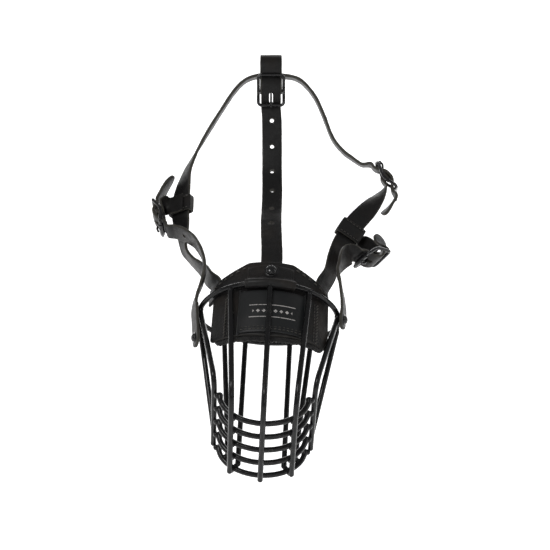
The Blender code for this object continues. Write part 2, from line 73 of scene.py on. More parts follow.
room = arc_room(4.0, -3.0, 2.4, -0.95, 2.6, 1.2)
middle = (0.0, -0.06, -0.21)
panel_light("light_key", (-0.55, -1.35, 0.75), middle, (0.5, 0.5), 5)
panel_light("light_front", (0.25, -2.0, 0.0), middle, (0.35, 0.35), 1.0)
panel_light("light_right", (1.3, -0.5, 0.15), middle, (0.3, 1.2), 1.8)
panel_light("light_left", (-1.3, -0.3, -0.1), middle, (0.3, 1.2), 1.4)
panel_light("light_back", (0.1, 1.2, 0.9), middle, (1.6, 0.9), 5)

world = bpy.data.worlds.new("studio_air")
bpy.context.scene.world = world
world.use_nodes = True
world.node_tree.nodes["Background"].inputs["Color"].default_value = (1, 1, 1, 1)
world.node_tree.nodes["Background"].inputs["Strength"].default_value = 0.15
bpy.context.scene.view_settings.view_transform = "Standard"

lens = bpy.data.cameras.new("camera")
lens.lens, lens.sensor_width, lens.clip_end = 81.8, 36.0, 20.0
camera = bpy.data.objects.new("camera", lens)
camera.location, camera.rotation_euler = (0.0048, -1.2097, -0.2108), (pi / 2, 0, 0)
bpy.context.scene.collection.objects.link(camera)
bpy.context.scene.camera = camera


class Sum:
    """A shader socket that can stand in ordinary sums; each sum adds its Math node."""

    def __init__(self, tree, socket):
        self.tree, self.socket = tree, socket

    def node(self, kind, settings, *values, out=0):
        """A new node: its settings first, then its sockets in order, None leaving one as it is."""
        made = self.tree.nodes.new(kind)
        for key, value in settings.items():
            setattr(made, key, value)
        for slot, value in zip(made.inputs, values):
            if isinstance(value, Sum):
                self.tree.links.new(value.socket, slot)
            elif value is not None:
                slot.default_value = value
        return Sum(self.tree, made.outputs[out])

    def maths(self, operation, *values):
        return self.node("ShaderNodeMath", {"operation": operation}, *values)

    def size(self):
        """Without its sign."""
        return self.maths("ABSOLUTE", self)

    def root(self):
        return self.maths("SQRT", self)

    def fraction(self):
        """The part after the point."""
        return self.maths("FRACT", self)

    def most(self, other):
        """The larger of two."""
        return self.maths("MAXIMUM", self, other)

    def parts(self):
        """The x, y and z of a vector."""
        split = self.node("ShaderNodeSeparateXYZ", {}, self)
        return [Sum(self.tree, out) for out in split.socket.node.outputs]

    def __add__(self, other):
        return self.maths("ADD", self, other)

    def __sub__(self, other):
        return self.maths("SUBTRACT", self, other)

    def __rsub__(self, other):
        return self.maths("SUBTRACT", other, self)

    def __mul__(self, other):
        return self.maths("MULTIPLY", self, other)

    def __truediv__(self, other):
        return self.maths("DIVIDE", self, other)

    __radd__, __rmul__ = __add__, __mul__

    def ramp(self, low, high):
        """0 below low, 1 above high, smooth between."""
        soft = {"interpolation_type": "SMOOTHSTEP"}
        return self.node("ShaderNodeMapRange", soft, self, low, high, 0.0, 1.0)

    def blend(self, first, second):
        """Colour mix: first where this is 0, second where it is 1."""
        pair = [value if isinstance(value, Sum) else (*value, 1.0) for value in (first, second)]
        number_sockets = [None] * 5
        return self.node("ShaderNodeMix", {"data_type": "RGBA"}, self, *number_sockets, *pair, out=2)

    def noise(self, scale, detail=3.0, rough=0.55, out=0):
        """Cloudy noise on this place, its scale in cycles a metre."""
        return self.node("ShaderNodeTexNoise", {}, self, None, scale, detail, rough, out=out)

    def cells(self, scale, feature="F1"):
        """Distance to scattered cell centres."""
        return self.node("ShaderNodeTexVoronoi", {"feature": feature}, self, None, scale)


floor_paint = bpy.data.materials.new("studio_paper")
floor_paint.use_nodes = True
paper = floor_paint.node_tree.nodes["Principled BSDF"]
paper_place = Sum(floor_paint.node_tree,
                  floor_paint.node_tree.nodes.new("ShaderNodeTexCoord").outputs["Object"])
paper_grain = paper_place.noise(3.0).ramp(0.3, 0.7)
paper_tone = paper_grain.blend((0.93, 0.93, 0.93), (0.95, 0.95, 0.95))
floor_paint.node_tree.links.new(paper_tone.socket, paper.inputs["Base Color"])
paper.inputs["Roughness"].default_value = 0.9
depth_back = paper_place.parts()[1]
glow = depth_back.ramp(0.1, 1.0).blend((0.20, 0.20, 0.20), (1.0, 1.0, 1.0))
floor_paint.node_tree.links.new(glow.socket, paper.inputs["Emission Color"])
paper.inputs["Emission Strength"].default_value = 1.0
room.data.materials.append(floor_paint)


# ---- Rim wire ----
# A steel wire bent to an egg shape round the dog's muzzle and welded shut, then dipped in soft black
# rubber with the rest of the basket, which leaves a slightly uneven, half-glossy skin.

MM = 0.001
WIRE_R = 2.4
RIM_HALF, RIM_CROWN, RIM_CHIN = 62.0, 50.0, 34.0
BASKET_AT = np.array([0.9, -135.7, -217.7])
BASKET_PITCH, BASKET_LEAN = radians(35.0), radians(3.0)
LEAN_TURN = np.array([[cos(BASKET_LEAN), 0, sin(BASKET_LEAN)], [0, 1, 0],
                      [-sin(BASKET_LEAN), 0, cos(BASKET_LEAN)]])
SIDE_WAY = LEAN_TURN @ np.array([1.0, 0, 0])
TOP_WAY = LEAN_TURN @ np.array([0, -cos(BASKET_PITCH), sin(BASKET_PITCH)])
NOSE_WAY = LEAN_TURN @ np.array([0, -sin(BASKET_PITCH), -cos(BASKET_PITCH)])
ROOT = "harness_and_basket"


def seat(x, u, f):
    """Basket place: x to the side, u up from the bridge of the nose, f forward of the rim, as arrays."""
    x, u, f = np.broadcast_arrays(np.asarray(x, float), u, f)
    return BASKET_AT + x[..., None] * SIDE_WAY + u[..., None] * TOP_WAY + f[..., None] * NOSE_WAY


def oval(turn, inset=0.0, f=0.0):
    """Egg shape: half an ellipse 50 high above the widest line and half of one 34 deep below it."""
    turn = np.asarray(turn, float)
    tall = np.where(np.cos(turn) > 0, RIM_CROWN, RIM_CHIN) - inset
    u = -RIM_CROWN + tall * np.cos(turn)
    return seat((RIM_HALF - inset) * np.sin(turn), u, f - 0.1 * u)


def unit(v):
    """Each vector divided by its length."""
    return v / np.maximum(np.linalg.norm(v, axis=-1, keepdims=True), 1e-9)


def lengths(points):
    """Distance run along a line of points."""
    return np.concatenate([[0], np.cumsum(np.linalg.norm(np.diff(points, axis=0), axis=1))])


def even(points, spacing):
    """The same line with points at equal distances."""
    run = lengths(points)
    new = np.linspace(0, run[-1], max(int(run[-1] / spacing), 2) + 1)
    return np.stack([np.interp(new, run, points[:, k]) for k in range(3)], axis=1)


def ripple(run, seed, size):
    """A slow uneven wave along a length: three sines of unrelated lengths."""
    k = np.array([0.11, 0.27, 0.61]) * (1 + 0.07 * (seed % 5))
    return size * np.sin(run[:, None] * k + seed * np.array([1.3, 2.1, 3.7])).mean(axis=1)


def wire_skin(points, radius, up, sides=18, closed=False, seed=1, lumps=0.04, ends=0.12):
    """Circles carried along a line; their radius ripples, swells near the ends and closes as a ball."""
    run = lengths(points)
    step = np.roll(points, -1, 0) - np.roll(points, 1, 0) if closed else np.gradient(points, axis=0)
    ahead = unit(step)
    r = radius + ripple(run, seed, lumps)
    if not closed:
        r = r + ends * (np.exp(-(run / 2.6) ** 2) + np.exp(-((run[-1] - run) / 2.6) ** 2))
        cap = np.linspace(pi / 2 - 0.1, 0.25, 6)
        first = points[0] - ahead[0] * (r[0] * np.sin(cap))[:, None]
        last = points[-1] + ahead[-1] * (r[-1] * np.sin(cap[::-1]))[:, None]
        points = np.concatenate([first, points, last])
        r = np.concatenate([r[0] * np.cos(cap), r, r[-1] * np.cos(cap[::-1])])
        ahead = np.concatenate([np.repeat(ahead[:1], 6, 0), ahead, np.repeat(ahead[-1:], 6, 0)])
    side = unit(np.cross(ahead, up))
    top = np.cross(side, ahead)
    a = np.linspace(0, 2 * pi, sides, endpoint=False)
    ring = side[:, None] * np.cos(a)[None, :, None] + top[:, None] * np.sin(a)[None, :, None]
    return points[:, None] + ring * r[:, None, None]


def blob(centre, size, sides=12):
    """A small ellipsoid: circles of latitude whose radius is the cosine of the angle."""
    a = np.linspace(0, 2 * pi, sides, endpoint=False)
    lat = np.linspace(-pi / 2 + 0.02, pi / 2 - 0.02, 8)
    ball = np.stack([np.cos(lat)[:, None] * np.cos(a), np.cos(lat)[:, None] * np.sin(a),
                     np.sin(lat)[:, None] * np.ones_like(a)], axis=-1) * size
    return centre + ball @ np.stack([SIDE_WAY, TOP_WAY, NOSE_WAY])


def corners(n, m, closed):
    """Row and column of each quad's four corners, in order round it."""
    i, j = np.meshgrid(np.arange(n if closed else n - 1), np.arange(m), indexing="ij")
    below, beside = (i + 1) % n, (j + 1) % m
    rows, columns = np.stack([i, i, below, below], axis=-1), np.stack([j, beside, beside, j], axis=-1)
    return rows.reshape(-1, 4), columns.reshape(-1, 4)


def skin_mesh(name, grids, closed=False, place=None, traits=None):
    """One mesh from grids of points (rows along, columns around): quads between neighbours, wrapped
    round the columns, with flat ends unless the rows close too. place gives each corner's own (u, v)."""
    points, quads, caps, start = [], [], [], 0
    for grid in grids:
        n, m = grid.shape[:2]
        rows, columns = corners(n, m, closed)
        quads.append(start + rows * m + columns)
        if not closed:
            caps += [start + np.arange(m)[::-1], start + (n - 1) * m + np.arange(m)]
        points.append(grid.reshape(-1, 3))
        start += n * m
    points = np.concatenate(points) * MM
    quads = np.concatenate(quads)
    mesh = bpy.data.meshes.new(name)
    mesh.from_pydata(points.tolist(), [], quads.tolist() + [cap.tolist() for cap in caps])
    if place is not None:
        layer = mesh.uv_layers.new(name="place")
        n, m = grids[0].shape[:2]
        rows, columns = (part.ravel() for part in corners(n, m, closed))
        if not closed:
            rows = np.concatenate([rows, np.repeat([0, n - 1], m)])
            columns = np.concatenate([columns, np.arange(m)[::-1], np.arange(m)])
        spots = np.stack([part[rows, columns] for part in place], axis=1)
        layer.data.foreach_set("uv", spots.astype(np.float32).ravel())
    for trait, values in (traits or {}).items():
        layer = mesh.attributes.new(trait, "FLOAT", "POINT")
        layer.data.foreach_set("value", values.astype(np.float32).ravel())
    mesh.shade_smooth()
    thing = bpy.data.objects.new(name, mesh)
    bpy.context.scene.collection.objects.link(thing)
    outward(thing)
    return thing


def outward(thing):
    """Turn the faces out: the summed volume under all triangles must be positive."""
    mesh = thing.data
    mesh.calc_loop_triangles()
    spots = np.empty(len(mesh.vertices) * 3)
    mesh.vertices.foreach_get("co", spots)
    spots = spots.reshape(-1, 3)
    tri = np.empty(len(mesh.loop_triangles) * 3, int)
    mesh.loop_triangles.foreach_get("vertices", tri)
    a, b, c = spots[tri.reshape(-1, 3)].transpose(1, 0, 2)
    if np.einsum("ij,ij->i", a, np.cross(b, c)).sum() < 0:
        mesh.flip_normals()


def fit(thing, node, paint, body=ROOT):
    """Put a piece in the object: it stands for a node, rides on a body and takes a stored finish."""
    thing.data.materials.append(paint)
    if node:
        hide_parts(*([node] if isinstance(node, str) else node))
    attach(thing, body)


def new_paint(name):
    """An empty Principled material, the place on the object, and its shader."""
    paint = bpy.data.materials.new(name)
    paint.use_nodes = True
    tree = paint.node_tree
    place = Sum(tree, tree.nodes.new("ShaderNodeTexCoord").outputs["Object"])
    return paint, place, tree.nodes["Principled BSDF"]


def set_paint(shader, place, colour, roughness, height=None, depth=0.0002, **fixed):
    """Link the changing sockets and set the constant ones."""
    tree = place.tree
    for socket, value in (("Base Color", colour), ("Roughness", roughness)):
        if isinstance(value, Sum):
            tree.links.new(value.socket, shader.inputs[socket])
        else:
            shader.inputs[socket].default_value = value
    if height is not None:
        bump = tree.nodes.new("ShaderNodeBump")
        bump.inputs["Distance"].default_value = depth
        bump.inputs["Strength"].default_value = 1.0
        tree.links.new(height.socket, bump.inputs["Height"])
        tree.links.new(bump.outputs["Normal"], shader.inputs["Normal"])
    for socket, value in fixed.items():
        shader.inputs[socket.replace("_", " ")].default_value = value


dip, place, shader = new_paint("dipped_rubber")
orange_peel = place.noise(420.0, 2.0)
dust = place.noise(60.0, 5.0, 0.7).ramp(0.50, 0.72)
scuff = place.noise(900.0, 2.0).ramp(0.60, 0.75)
set_paint(shader, place, dust.blend((0.009, 0.009, 0.010), (0.022, 0.021, 0.020)),
          0.20 + dust * 0.14 + scuff * 0.08, orange_peel * 0.5 + place.noise(90.0, 2.0) * 0.8, 0.00009,
          Coat_Weight=0.10, Coat_Roughness=0.15)

turns = np.linspace(0, 2 * pi, 240, endpoint=False)
rim = skin_mesh("rim_wire_dipped", [wire_skin(oval(turns), WIRE_R, NOSE_WAY, closed=True, seed=3)],
                closed=True)
fit(rim, "rim_wire", dip)


# ---- Bridge, side and chin wires ----
# Straight wires of the same dipped steel run forward from the rim; the bridge and upper side wires turn
# down over the nose to the lowest ring. Each is welded to the rim under the rubber, which fills the joint.

TOP_RUN, FACE_DROP, FACE_LEAN = 116.0, 86.0, radians(17.5)
RING_FIRST, RING_PITCH, RING_HALF, RING_DEPTH = 25.0, 15.2, 37.0, 25.0
CLEAR = 2 * WIRE_R + 0.3


def ring_point(drop, turn, inset=0.0):
    """Nose face: an ellipse 37 to the side and 25 forward, drop below the bend, leaning with the face."""
    f = TOP_RUN + drop * sin(FACE_LEAN) - RING_DEPTH + (RING_DEPTH - inset) * np.cos(turn)
    return seat((RING_HALF - inset) * np.sin(turn), -drop * cos(FACE_LEAN), f)


def bent_line(start, corner, end, radius):
    """Start to end past a corner that is rounded by a quadratic curve."""
    before, after = unit(corner - start), unit(end - corner)
    a, b = corner - before * radius, corner + after * radius
    t = np.linspace(0, 1, 24)[:, None]
    return even(np.concatenate([[start], (1 - t) ** 2 * a + 2 * t * (1 - t) * corner + t ** 2 * b, [end]]),
                1.4)


def weld(wire_point, rim_turn):
    """The rubber that fills a joint between a wire's end and the rim."""
    return blob((wire_point + oval(rim_turn)) / 2, np.array([2.5, 2.5, 3.6]))


long_wires = []
for k, (name, turn, side) in enumerate((("left", -33, -1), ("centre", 0, 0), ("right", 33, 1))):
    start, spread = oval(radians(turn), -0.4, CLEAR), radians(38.5) * side
    line = bent_line(start, ring_point(0, spread, -CLEAR), ring_point(FACE_DROP - 1.5, spread, -CLEAR), 23)
    long_wires.append((f"bridge_wire_{name}", line, start, radians(turn)))
for name, side in (("left", -1), ("right", 1)):
    start = oval(radians(76) * side, 0, CLEAR)
    line = bent_line(start, ring_point(RING_FIRST - 14, radians(96) * side, -CLEAR),
                     ring_point(FACE_DROP, radians(96) * side, -CLEAR), 16)
    long_wires.append((f"upper_side_wire_{name}", line, start, radians(76) * side))
    start = oval(radians(100) * side, 0, CLEAR)
    end = ring_point(FACE_DROP - 6, radians(97) * side, -CLEAR) - NOSE_WAY * CLEAR
    long_wires.append((f"lower_side_wire_{name}", even(np.array([start, end]), 1.4), start,
                       radians(100) * side))
for name, turn, spread in (("left_outer", -141, -64), ("left_inner", -161, -38), ("centre", 180, 0),
                           ("right_inner", 161, 38), ("right_outer", 141, 64)):
    start, end = oval(radians(turn), 0, CLEAR), ring_point(FACE_DROP - 0.5, radians(spread), CLEAR)
    long_wires.append((f"chin_wire_{name}", even(np.array([start, end]), 1.4), start, radians(turn)))
for k, (name, line, start, turn) in enumerate(long_wires):
    sway = unit(np.cross(np.gradient(line, axis=0), SIDE_WAY + 0.3 * TOP_WAY))
    line = line + sway * ripple(lengths(line), k, 0.12)[:, None]
    up_way = TOP_WAY + 0.4 * NOSE_WAY if "side" in name else SIDE_WAY + 0.01 * TOP_WAY
    skin = wire_skin(line, WIRE_R, up_way, seed=k)
    wire = skin_mesh(f"{name}_dipped", [skin, weld(start, turn)])
    fit(wire, name, dip)


# ---- Nose rings ----
# Five half rings close the nose end. Each is welded to every wire that it crosses, and its own ends stand
# out as drips of rubber.

CROSSINGS = [radians(a) for a in (-96, -38.5, 0, 38.5, 96)]
for k in range(5):
    drop = RING_FIRST + k * RING_PITCH
    arc = even(ring_point(drop, np.linspace(radians(-88), radians(88), 120)), 1.3)
    arc = arc + TOP_WAY * ripple(lengths(arc), k + 9, 0.15)[:, None]
    parts = [wire_skin(arc, WIRE_R, TOP_WAY, seed=k + 20, ends=0.5)]
    parts += [blob(ring_point(drop, min(max(a, radians(-88)), radians(88)), -CLEAR / 2),
                   np.array([2.4, 2.9, 2.5])) for a in CROSSINGS]
    if k == 4:
        parts += [blob(ring_point(drop + 0.2, radians(a), CLEAR / 2), np.array([2.4, 2.5, 2.9]))
                  for a in (-64, -38, 0, 38, 64)]
    fit(skin_mesh(f"nose_ring_{k + 1}_dipped", parts), f"nose_ring_{k + 1}", dip)


# ---- Leather ----
# Oak-tanned strap leather, dyed black and waxed: fine pebbled grain, pricked and creased along its edges,
# a little brown where the dye has worn through, and painted lighter grey along the cut edges: partly the
# rubbed edge's own colour, partly a painted highlight where the round edges catch light.

def leather_paint(name, marks=(), brown=0.5, bold=1.6, rim=0.75, coat=0.12):
    """Strap leather. place runs across and along in millimetres; inward is the distance from a cut edge."""
    paint, spot, shader = new_paint(name)
    tree = spot.tree
    own = spot.node("ShaderNodeUVMap", {"uv_map": "place"})
    inward = spot.node("ShaderNodeAttribute", {"attribute_name": "inward"}, out=2)
    # edge and edge_wear_and_sheen mark the cut edges and a band beside them, which are painted lighter
    # below: partly rubbed wear, partly painted highlight.
    edge = 1 - (inward + spot.noise(300.0, 2.0) * 0.5).ramp(0.25, 0.95)
    edge_wear_and_sheen = 1 - (inward + spot.noise(120.0, 4.0) * 2.4).ramp(0.9, 3.0)
    crease = 1 - (inward - 2.1).size().ramp(0.0, 0.5)
    grain = spot.cells(1100.0)
    pores = spot.noise(1700.0, 2.0)
    folds = spot.noise(170.0, 4.0, 0.6)
    worn = spot.noise(26.0, 4.0, 0.6).ramp(0.46, 0.70) * brown
    colour = worn.blend((0.0125, 0.0120, 0.0120), (0.030, 0.023, 0.018))
    # Painted highlight mixed with real rubbed grey: the band and the cut edges are painted lighter, the
    # edges as strongly as rim sets.
    colour = (edge_wear_and_sheen * 0.35).blend(colour, (0.045, 0.042, 0.036))
    colour = (edge * rim).blend(colour, (0.085, 0.080, 0.066))
    height = grain * 0.35 + pores * 0.25 + folds * 0.9 - crease * 0.6
    if marks:
        across, along, _ = own.parts()
        for x, y, reach in marks:
            away = ((across - x) * (across - x) + (along - y) * (along - y)).root()
            lip = 1 - away.ramp(reach, reach + 1.4)
            colour = (lip * 0.8).blend(colour, (0.055, 0.051, 0.044))
            height = height - lip * 1.2
    set_paint(shader, spot, colour, 0.42 + grain * 0.2 + folds.ramp(0.4, 0.7) * 0.14, height, 0.00022 * bold,
              Coat_Weight=coat, Coat_Roughness=0.26, Specular_IOR_Level=0.35)
    return paint


def smooth(points, steps=10):
    """Catmull-Rom curve through points, the same blend of four neighbours as the frame's straps."""
    points = np.asarray(points, float)
    p = np.concatenate([[2 * points[0] - points[1]], points, [2 * points[-1] - points[-2]]])
    a, b, c, d = p[:-3, None], p[1:-2, None], p[2:-1, None], p[3:, None]
    t = (np.arange(steps) / steps)[None, :, None]
    curve = 0.5 * (2 * b + (c - a) * t + (2 * a - 5 * b + 4 * c - d) * t ** 2
                   + (3 * b - a - 3 * c + d) * t ** 3)
    return np.concatenate([curve.reshape(-1, 3), points[-1:]])


def strap_skin(route, ways, width, thick, tips=(0, 0), seed=1, steps=10, edge=0.8, pillow=0.12):
    """A flat section with round edges carried along a smooth route. The width narrows as a half ellipse
    over each tip's length; the thickness closes over the last half millimetre; both ripple slightly."""
    centre, across = smooth(route, steps), smooth(ways, steps)
    run = lengths(centre)
    keep = np.concatenate([[True], np.diff(run) > 1e-4])
    centre, across, run = centre[keep], across[keep], run[keep]
    new = np.linspace(0, run[-1], max(int(run[-1] / 1.3), 12))
    for tip, at in ((tips[0], 0.0), (tips[1], run[-1])):
        if tip:
            a = tip * (1 - np.cos(np.linspace(0.05, pi / 2, 8)))
            new = np.union1d(new, a if at == 0 else run[-1] - a)
    new = np.union1d(new, [0.25, 0.7, run[-1] - 0.7, run[-1] - 0.25])
    centre = np.stack([np.interp(new, run, centre[:, k]) for k in range(3)], axis=1)
    across = np.stack([np.interp(new, run, across[:, k]) for k in range(3)], axis=1)
    ahead = unit(np.gradient(centre, new, axis=0))
    side = unit(across - (across * ahead).sum(1, keepdims=True) * ahead)
    up = np.cross(side, ahead)
    half = width / 2 * (1 + ripple(new, seed, 0.012))
    deep = thick / 2 * (1 + ripple(new, seed + 4, 0.10))
    left = np.minimum(new, run[-1] - new)
    deep = deep * np.sqrt(np.clip(1 - (1 - np.clip(left / 0.7, 0, 1)) ** 2, 0.02, 1))
    for tip, gone in ((tips[0], new), (tips[1], run[-1] - new)):
        if tip:
            half = half * np.sqrt(np.clip(1 - (1 - np.clip(gone / tip, 0, 1)) ** 2.4, 0.004, 1))
    flat = np.linspace(-1, 1, 13)
    turn = np.linspace(-pi / 2, pi / 2, 7)[1:-1]
    x = np.concatenate([flat, [1] * 5, flat[::-1], [-1] * 5])
    bow = np.concatenate([[0] * 13, np.cos(turn), [0] * 13, -np.cos(turn)])
    z = np.concatenate([[-1] * 13, np.sin(turn), [1] * 13, -np.sin(turn)])
    swell = np.concatenate([-(1 - flat ** 2), [0] * 5, 1 - flat ** 2, [0] * 5]) * pillow
    inner = half[:, None] - edge
    offset = np.clip(inner, 0.02, None) * x + np.minimum(edge, half[:, None]) * bow
    rise = deep[:, None] * z + swell * thick / 2
    grid = centre[:, None] + side[:, None] * offset[..., None] + up[:, None] * rise[..., None]
    inward = np.where(bow != 0, 0.0, half[:, None] - np.abs(offset))
    return grid, (offset, np.repeat(new[:, None], len(x), axis=1)), inward


def strap(name, node, route, ways, width, thick, paint, cuts=(), **shape):
    """A strap piece: its skin, its punched holes and its place in the object."""
    grid, place, inward = strap_skin(route, ways, width, thick, **shape)
    thing = skin_mesh(name, [grid], place=place, traits={"inward": inward})
    if cuts:
        punch(thing, cuts)
    fit(thing, node, paint)
    return thing


def punch(thing, spots):
    """Cut round or long holes: each spot is a point, a way through, a radius and half a stretch. The cuts
    are applied at once."""
    cutters = []
    for at, along, radius, pull in spots:
        a = np.linspace(0, 2 * pi, 24, endpoint=False)
        turn = np.array(Vector(along).to_track_quat("Z", "Y").to_matrix())
        ring = np.stack([radius * np.cos(a), radius * np.sin(a), 0 * a], axis=1) @ turn.T
        ring = ring + np.sign(ring @ np.asarray(pull, float) + 1e-6)[:, None] * np.asarray(pull, float)
        ends = np.stack([np.asarray(at) + ring + turn[:, 2] * h for h in (-4.5, 4.5)])
        cutter = skin_mesh("cutter", [ends])
        cut = thing.modifiers.new("hole", "BOOLEAN")
        cut.operation, cut.object, cut.solver = "DIFFERENCE", cutter, "EXACT"
        cutters.append(cutter)
    bpy.context.view_layer.update()
    mesh = bpy.data.meshes.new_from_object(thing.evaluated_get(bpy.context.evaluated_depsgraph_get()))
    thing.modifiers.clear()
    thing.data = mesh
    mesh.set_sharp_from_angle(angle=radians(50))
    for cutter in cutters:
        bpy.data.objects.remove(cutter)


def buckle_place(middle, along, across):
    """A buckle's own frame as (origin, 3x3 turn): columns across the strap, along it and out of its face."""
    y = unit(np.array(along, float))
    x = np.array(across, float)
    x = unit(x - (x @ y) * y)
    return np.array(middle, float), np.stack([x, y, np.cross(x, y)], axis=1)


def at_buckle(at, points):
    """Points in a buckle's frame turned into object places."""
    return at[0] + np.asarray(points, float) @ at[1].T


def through(at, pairs):
    """(along, out) pairs of a buckle as object places."""
    pairs = np.asarray(pairs, float)
    return at_buckle(at, np.stack([np.zeros(len(pairs)), pairs[:, 0], pairs[:, 1]], axis=1))


BOW, WRAP_R = 3.5, 2.6
WRAP = [(3.5, WRAP_R - BOW)] + [(-WRAP_R * cos(a), WRAP_R * sin(a) - BOW)
                                for a in (1.4, 0.7, 0.0, -0.7, -1.4)]
WRAP += [(3.5, -WRAP_R - BOW), (6.5, -WRAP_R - BOW - 0.4)]
BILLET = [(-18.5, -5.0), (-14.5, -4.9), (-11.0, -3.6), (-7.5, -0.8), (-4, 1.5), (0, 2.4), (4, 2.4),
          (7.5, 0.6),
          (10.5, -2.1), (14.0, -4.1), (17.5, -4.9)]
CROWN_AT = buckle_place((1.0, -13.9, -34.0), (0, 0, 1), (1, 0, 0))
NECK_AT = buckle_place((111.4, -21.0, -117.5), (0.60, -0.16, -0.79), (-0.1, -1, 0.13))
LEFT_AT = buckle_place((-105.0, -37.5, -157.0), (-0.30, 0.56, 0.77), (-0.05, -0.80, 0.60))
RIGHT_AT = buckle_place((93.9, -62.0, -196.1), (0.72, 0.65, 0.05), (-0.55, 0.62, -0.56))
LEFT_PATCH = buckle_place((-83.8, -28.0, -146.0), (0.0, 0.5, 0.86), (0.8, -0.6, 0))
RIGHT_PATCH = buckle_place((74.0, -57.0, -171.0), (0.5, 0.5, 0.74), (0.8, 0, -0.57))
strap_paint = leather_paint("strap_leather")
NO_PULL = (0, 0, 0)


def tongue_slot(at):
    """The long hole that a tongue stands in."""
    return at_buckle(at, [(0, -7.4, 0.2)])[0], at[1][:, 2], 1.8, at[1][:, 1] * 3.2


def fold_slot(at):
    """The cut in a fold that a tongue comes out of."""
    return at_buckle(at, [(0, -2.2, -BOW)])[0], at[1][:, 2], 1.7, at[1][:, 1] * 1.0


# ---- Crown loop and forehead strap ----
# A thin strap folded over to hang the muzzle by, and the adjusting strap with its row of holes that the
# crown buckle holds and the nose pad's rivet ends.

arch = [(-13.5, -17.6), (-13.5, -12.4)]
arch += [(-13.5 * cos(a), -12.4 + 13.5 * sin(a)) for a in [k * pi / 8 for k in range(1, 8)]]
arch += [(13.5, -12.4), (13.5, -17.5), (12.4, -20.7), (9.5, -21.8), (4, -21.8), (-1, -21.8), (-5.0, -22.0),
         (-7.2, -23.8), (-7.9, -26), (-7.9, -30), (-7.9, -34)]
arch += [(-10.4 + 2.5 * cos(a), -34.0 - 2.5 * sin(a)) for a in (0.8, 1.57, 2.35, pi)]
arch.append((-12.9, -30.5))
arch = np.array(arch)
arch_route = np.stack([np.full(len(arch), 1.0), arch[:, 0], arch[:, 1]], axis=1)
strap("crown_loop_leather", "crown_loop", arch_route, [(1, 0, 0)] * len(arch), 21, 2.0, strap_paint,
      [fold_slot(CROWN_AT)], steps=6, seed=2)

SKIN = WIRE_R + 0.3 + 1.4 + 0.3
HOLES = [(1.8, -11.0, -62.9), (2.0, -12.1, -88.0), (2.0, -19.3, -113), (2.2, -35.5, -132.7),
         (1.7, -53.7, -150.4), (1.3, -74.9, -164.5)]
HOLE_WAYS = [(0, -1, 0), (0, -1, 0.1), (0, -1, 0.6), (0, -0.7, 0.7), (0, -0.62, 0.78), (0, -0.6, 0.8)]
RIVET_F = -15.0
brow_route = [(1.2, -10.8, -11.6), (1.2, -10.8, -18)]
brow_route += list(through(CROWN_AT, [(13.5, -3.2), (9, -0.4), (4, 1.7), (0, 1.7), (-4, 1.4), (-8.5, -1.2),
                                      (-13, -3.8), (-17, -3.9)]))
brow_route += HOLES
brow_depth = SKIN + 2.0 + 0.3 + 1.3 + 0.8
brow_route += [oval(0, brow_depth, -35.5) + np.array([0, 3, 3.4]), oval(0, brow_depth, -23),
               oval(0, brow_depth, -5.5)]
brow_run = lengths(smooth(brow_route, 10))
brow_marks = [(0.0, float(brow_run[10 * (10 + k)]), 2.2) for k in range(6)]
brow_cuts = [(at, way, 1.95, NO_PULL) for at, way in zip(HOLES, HOLE_WAYS)]
brow_cuts += [tongue_slot(CROWN_AT)]
strap("forehead_strap_leather", "forehead_strap", brow_route, [(1, 0, 0)] * len(brow_route), 19, 2.6,
      leather_paint("brow_leather", brow_marks), brow_cuts, tips=(6, 0), seed=5)


# ---- Neck strap and right side strap ----
# The long strap starts at the left rim, goes up behind the ear, through the crown loop and down to the neck
# buckle, which the short right side strap holds in its fold. Both are sewn to the nose pad's lining.

NECK_T, STRAP_T, THIN_T, STRAP_W = 2.8, 2.6, 2.0, 19.0


def round_way(turn):
    """The way round the rim, towards the bridge of the nose."""
    step = 2.0 if turn < 0 else -2.0
    return unit(oval(radians(turn + step)) - oval(radians(turn - step)))


UNDER_PAD = WIRE_R + 2.1 + 1.4 + 2.0
LEFT_RIM_TURN, RIGHT_RIM_TURN, CHEEK_TURN = -68.0, 60.0, 79.0
neck_route = [oval(radians(LEFT_RIM_TURN), UNDER_PAD + NECK_T / 2, f) for f in (-4, -12, -22)]
neck_route += [(-53.5, -90, -214.5), (-60.5, -72, -207.5), (-70.5, -57, -199), (-77.4, -46, -190),
               (-81.4, -35, -178)]
neck_route += list(at_buckle(LEFT_PATCH, [(0, -13, 0), (0, 0, 0), (0, 13, 0)]))
neck_route += [(-80, -12, -113), (-72.4, -4, -95), (-60, 0, -72.5), (-46.6, 2, -50.9), (-35, 2.4, -33.5),
               (-24.3, 2, -22.9), (-12, 1.6, -18.4), (1, 1.6, -18), (14, 1.6, -18.4), (29, 1.6, -22.5),
               (42.5, 1, -37.2), (51.4, 0, -55.7), (60, -3, -78.2), (69.5, -8, -91.5), (79, -12, -99.5),
               (88, -16, -105.5)]
neck_route += list(through(NECK_AT, BILLET)) + [(119.0, -25.5, -138), (113.5, -27, -146), (106.5, -29, -154)]
neck_ways = [round_way(LEFT_RIM_TURN)] * 3
neck_ways += [(0.25, -0.8, 0.5), (0.2, -0.85, 0.4), (0.15, -0.95, 0.2), (0.2, -0.97, 0.1), (0.45, -0.9, 0)]
neck_ways += [LEFT_PATCH[1][:, 0]] * 3 + [(0.4, -0.9, 0), (0.15, -1, 0)] + [(0, -1, 0)] * 14
neck_ways += [NECK_AT[1][:, 0]] * len(BILLET) + [(0.0, -1, 0.1), (0.1, -1, 0.1), (0.3, -0.9, -0.1)]
strap("neck_strap_leather", "neck_strap", neck_route, neck_ways, STRAP_W, NECK_T, strap_paint,
      [tongue_slot(NECK_AT)], tips=(0, 9), seed=7)

